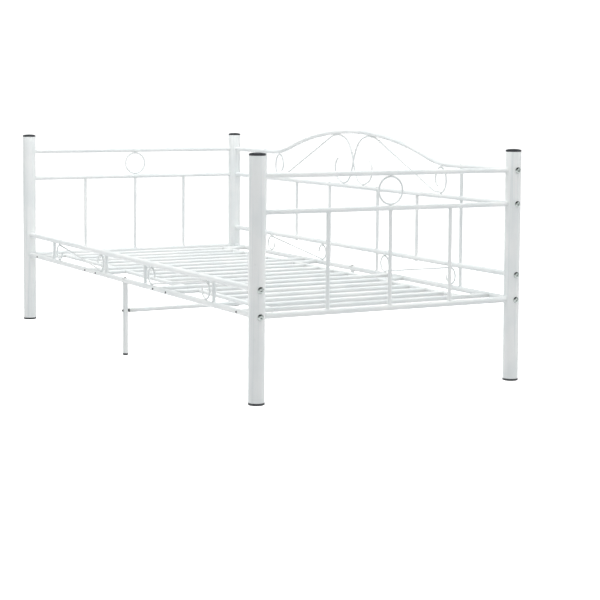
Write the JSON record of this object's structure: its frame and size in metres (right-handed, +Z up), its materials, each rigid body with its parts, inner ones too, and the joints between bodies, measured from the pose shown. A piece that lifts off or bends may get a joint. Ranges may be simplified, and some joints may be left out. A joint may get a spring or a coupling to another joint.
{
  "type": "daybed",
  "caption": "Single metal daybed: round corner posts with black caps, rail and spindle ends, a low scrolled front guard, an arched scrolled rear panel and slatted panels on a middle leg.",
  "frame": {"origin": "on the floor, below the middle of the bed", "axes": "+X along the bed's length towards its right end as seen from the front, +Y from the front guard towards the arched rear panel, +Z up"},
  "size_m": [2.068, 0.97, 0.783],
  "materials": {
    "white_powder_coat": "satin white powder coat on steel tube and wire",
    "black_plastic": "moulded black PE plastic, fine matt texture",
    "zinc_steel": "bright zinc-plated steel"
  },
  "bodies": {
    "root": {"post_front_left": "white_powder_coat", "post_cap_front_left": "black_plastic", "post_foot_front_left": "black_plastic", "post_front_right": "white_powder_coat", "post_cap_front_right": "black_plastic", "post_foot_front_right": "black_plastic", "post_rear_left": "white_powder_coat", "post_cap_rear_left": "black_plastic", "post_foot_rear_left": "black_plastic", "post_rear_right": "white_powder_coat", "post_cap_rear_right": "black_plastic", "post_foot_rear_right": "black_plastic", "end_left_top_rail": "white_powder_coat", "end_left_middle_rail": "white_powder_coat", "end_left_bottom_rail": "white_powder_coat", "end_left_spindle_front": "white_powder_coat", "end_left_spindle_centre": "white_powder_coat", "end_left_spindle_rear": "white_powder_coat", "end_left_ring": "white_powder_coat", "end_right_top_rail": "white_powder_coat", "end_right_middle_rail": "white_powder_coat", "end_right_bottom_rail": "white_powder_coat", "end_right_spindle_front": "white_powder_coat", "end_right_spindle_centre": "white_powder_coat", "end_right_spindle_rear": "white_powder_coat", "end_right_ring": "white_powder_coat", "front_base_rail": "white_powder_coat", "front_guard_rail": "white_powder_coat", "front_spindle_outer_left": "white_powder_coat", "front_spindle_inner_left": "white_powder_coat", "front_scroll_left": "white_powder_coat", "front_spindle_outer_right": "white_powder_coat", "front_spindle_inner_right": "white_powder_coat", "front_scroll_right": "white_powder_coat", "rear_crest_rail": "white_powder_coat", "rear_upper_rail": "white_powder_coat", "rear_guard_rail": "white_powder_coat", "rear_base_rail": "white_powder_coat", "rear_spindle_outer_left": "white_powder_coat", "rear_spindle_middle_left": "white_powder_coat", "rear_spindle_inner_left": "white_powder_coat", "rear_scroll_left": "white_powder_coat", "rear_spindle_outer_right": "white_powder_coat", "rear_spindle_middle_right": "white_powder_coat", "rear_spindle_inner_right": "white_powder_coat", "rear_scroll_right": "white_powder_coat", "rear_crest_scrolls": "white_powder_coat", "slat_panel_left": "white_powder_coat", "slat_panel_centre": "white_powder_coat", "slat_panel_right": "white_powder_coat", "middle_leg": "white_powder_coat", "middle_leg_foot": "black_plastic", "middle_brace": "white_powder_coat", "brace_end_collar": "black_plastic", "front_base_bolt_left": "zinc_steel", "front_guard_bolt_left": "zinc_steel", "front_base_bolt_right": "zinc_steel", "front_guard_bolt_right": "zinc_steel", "brace_bolt": "zinc_steel", "leg_bolt": "zinc_steel"}
  },
  "joints": []
}
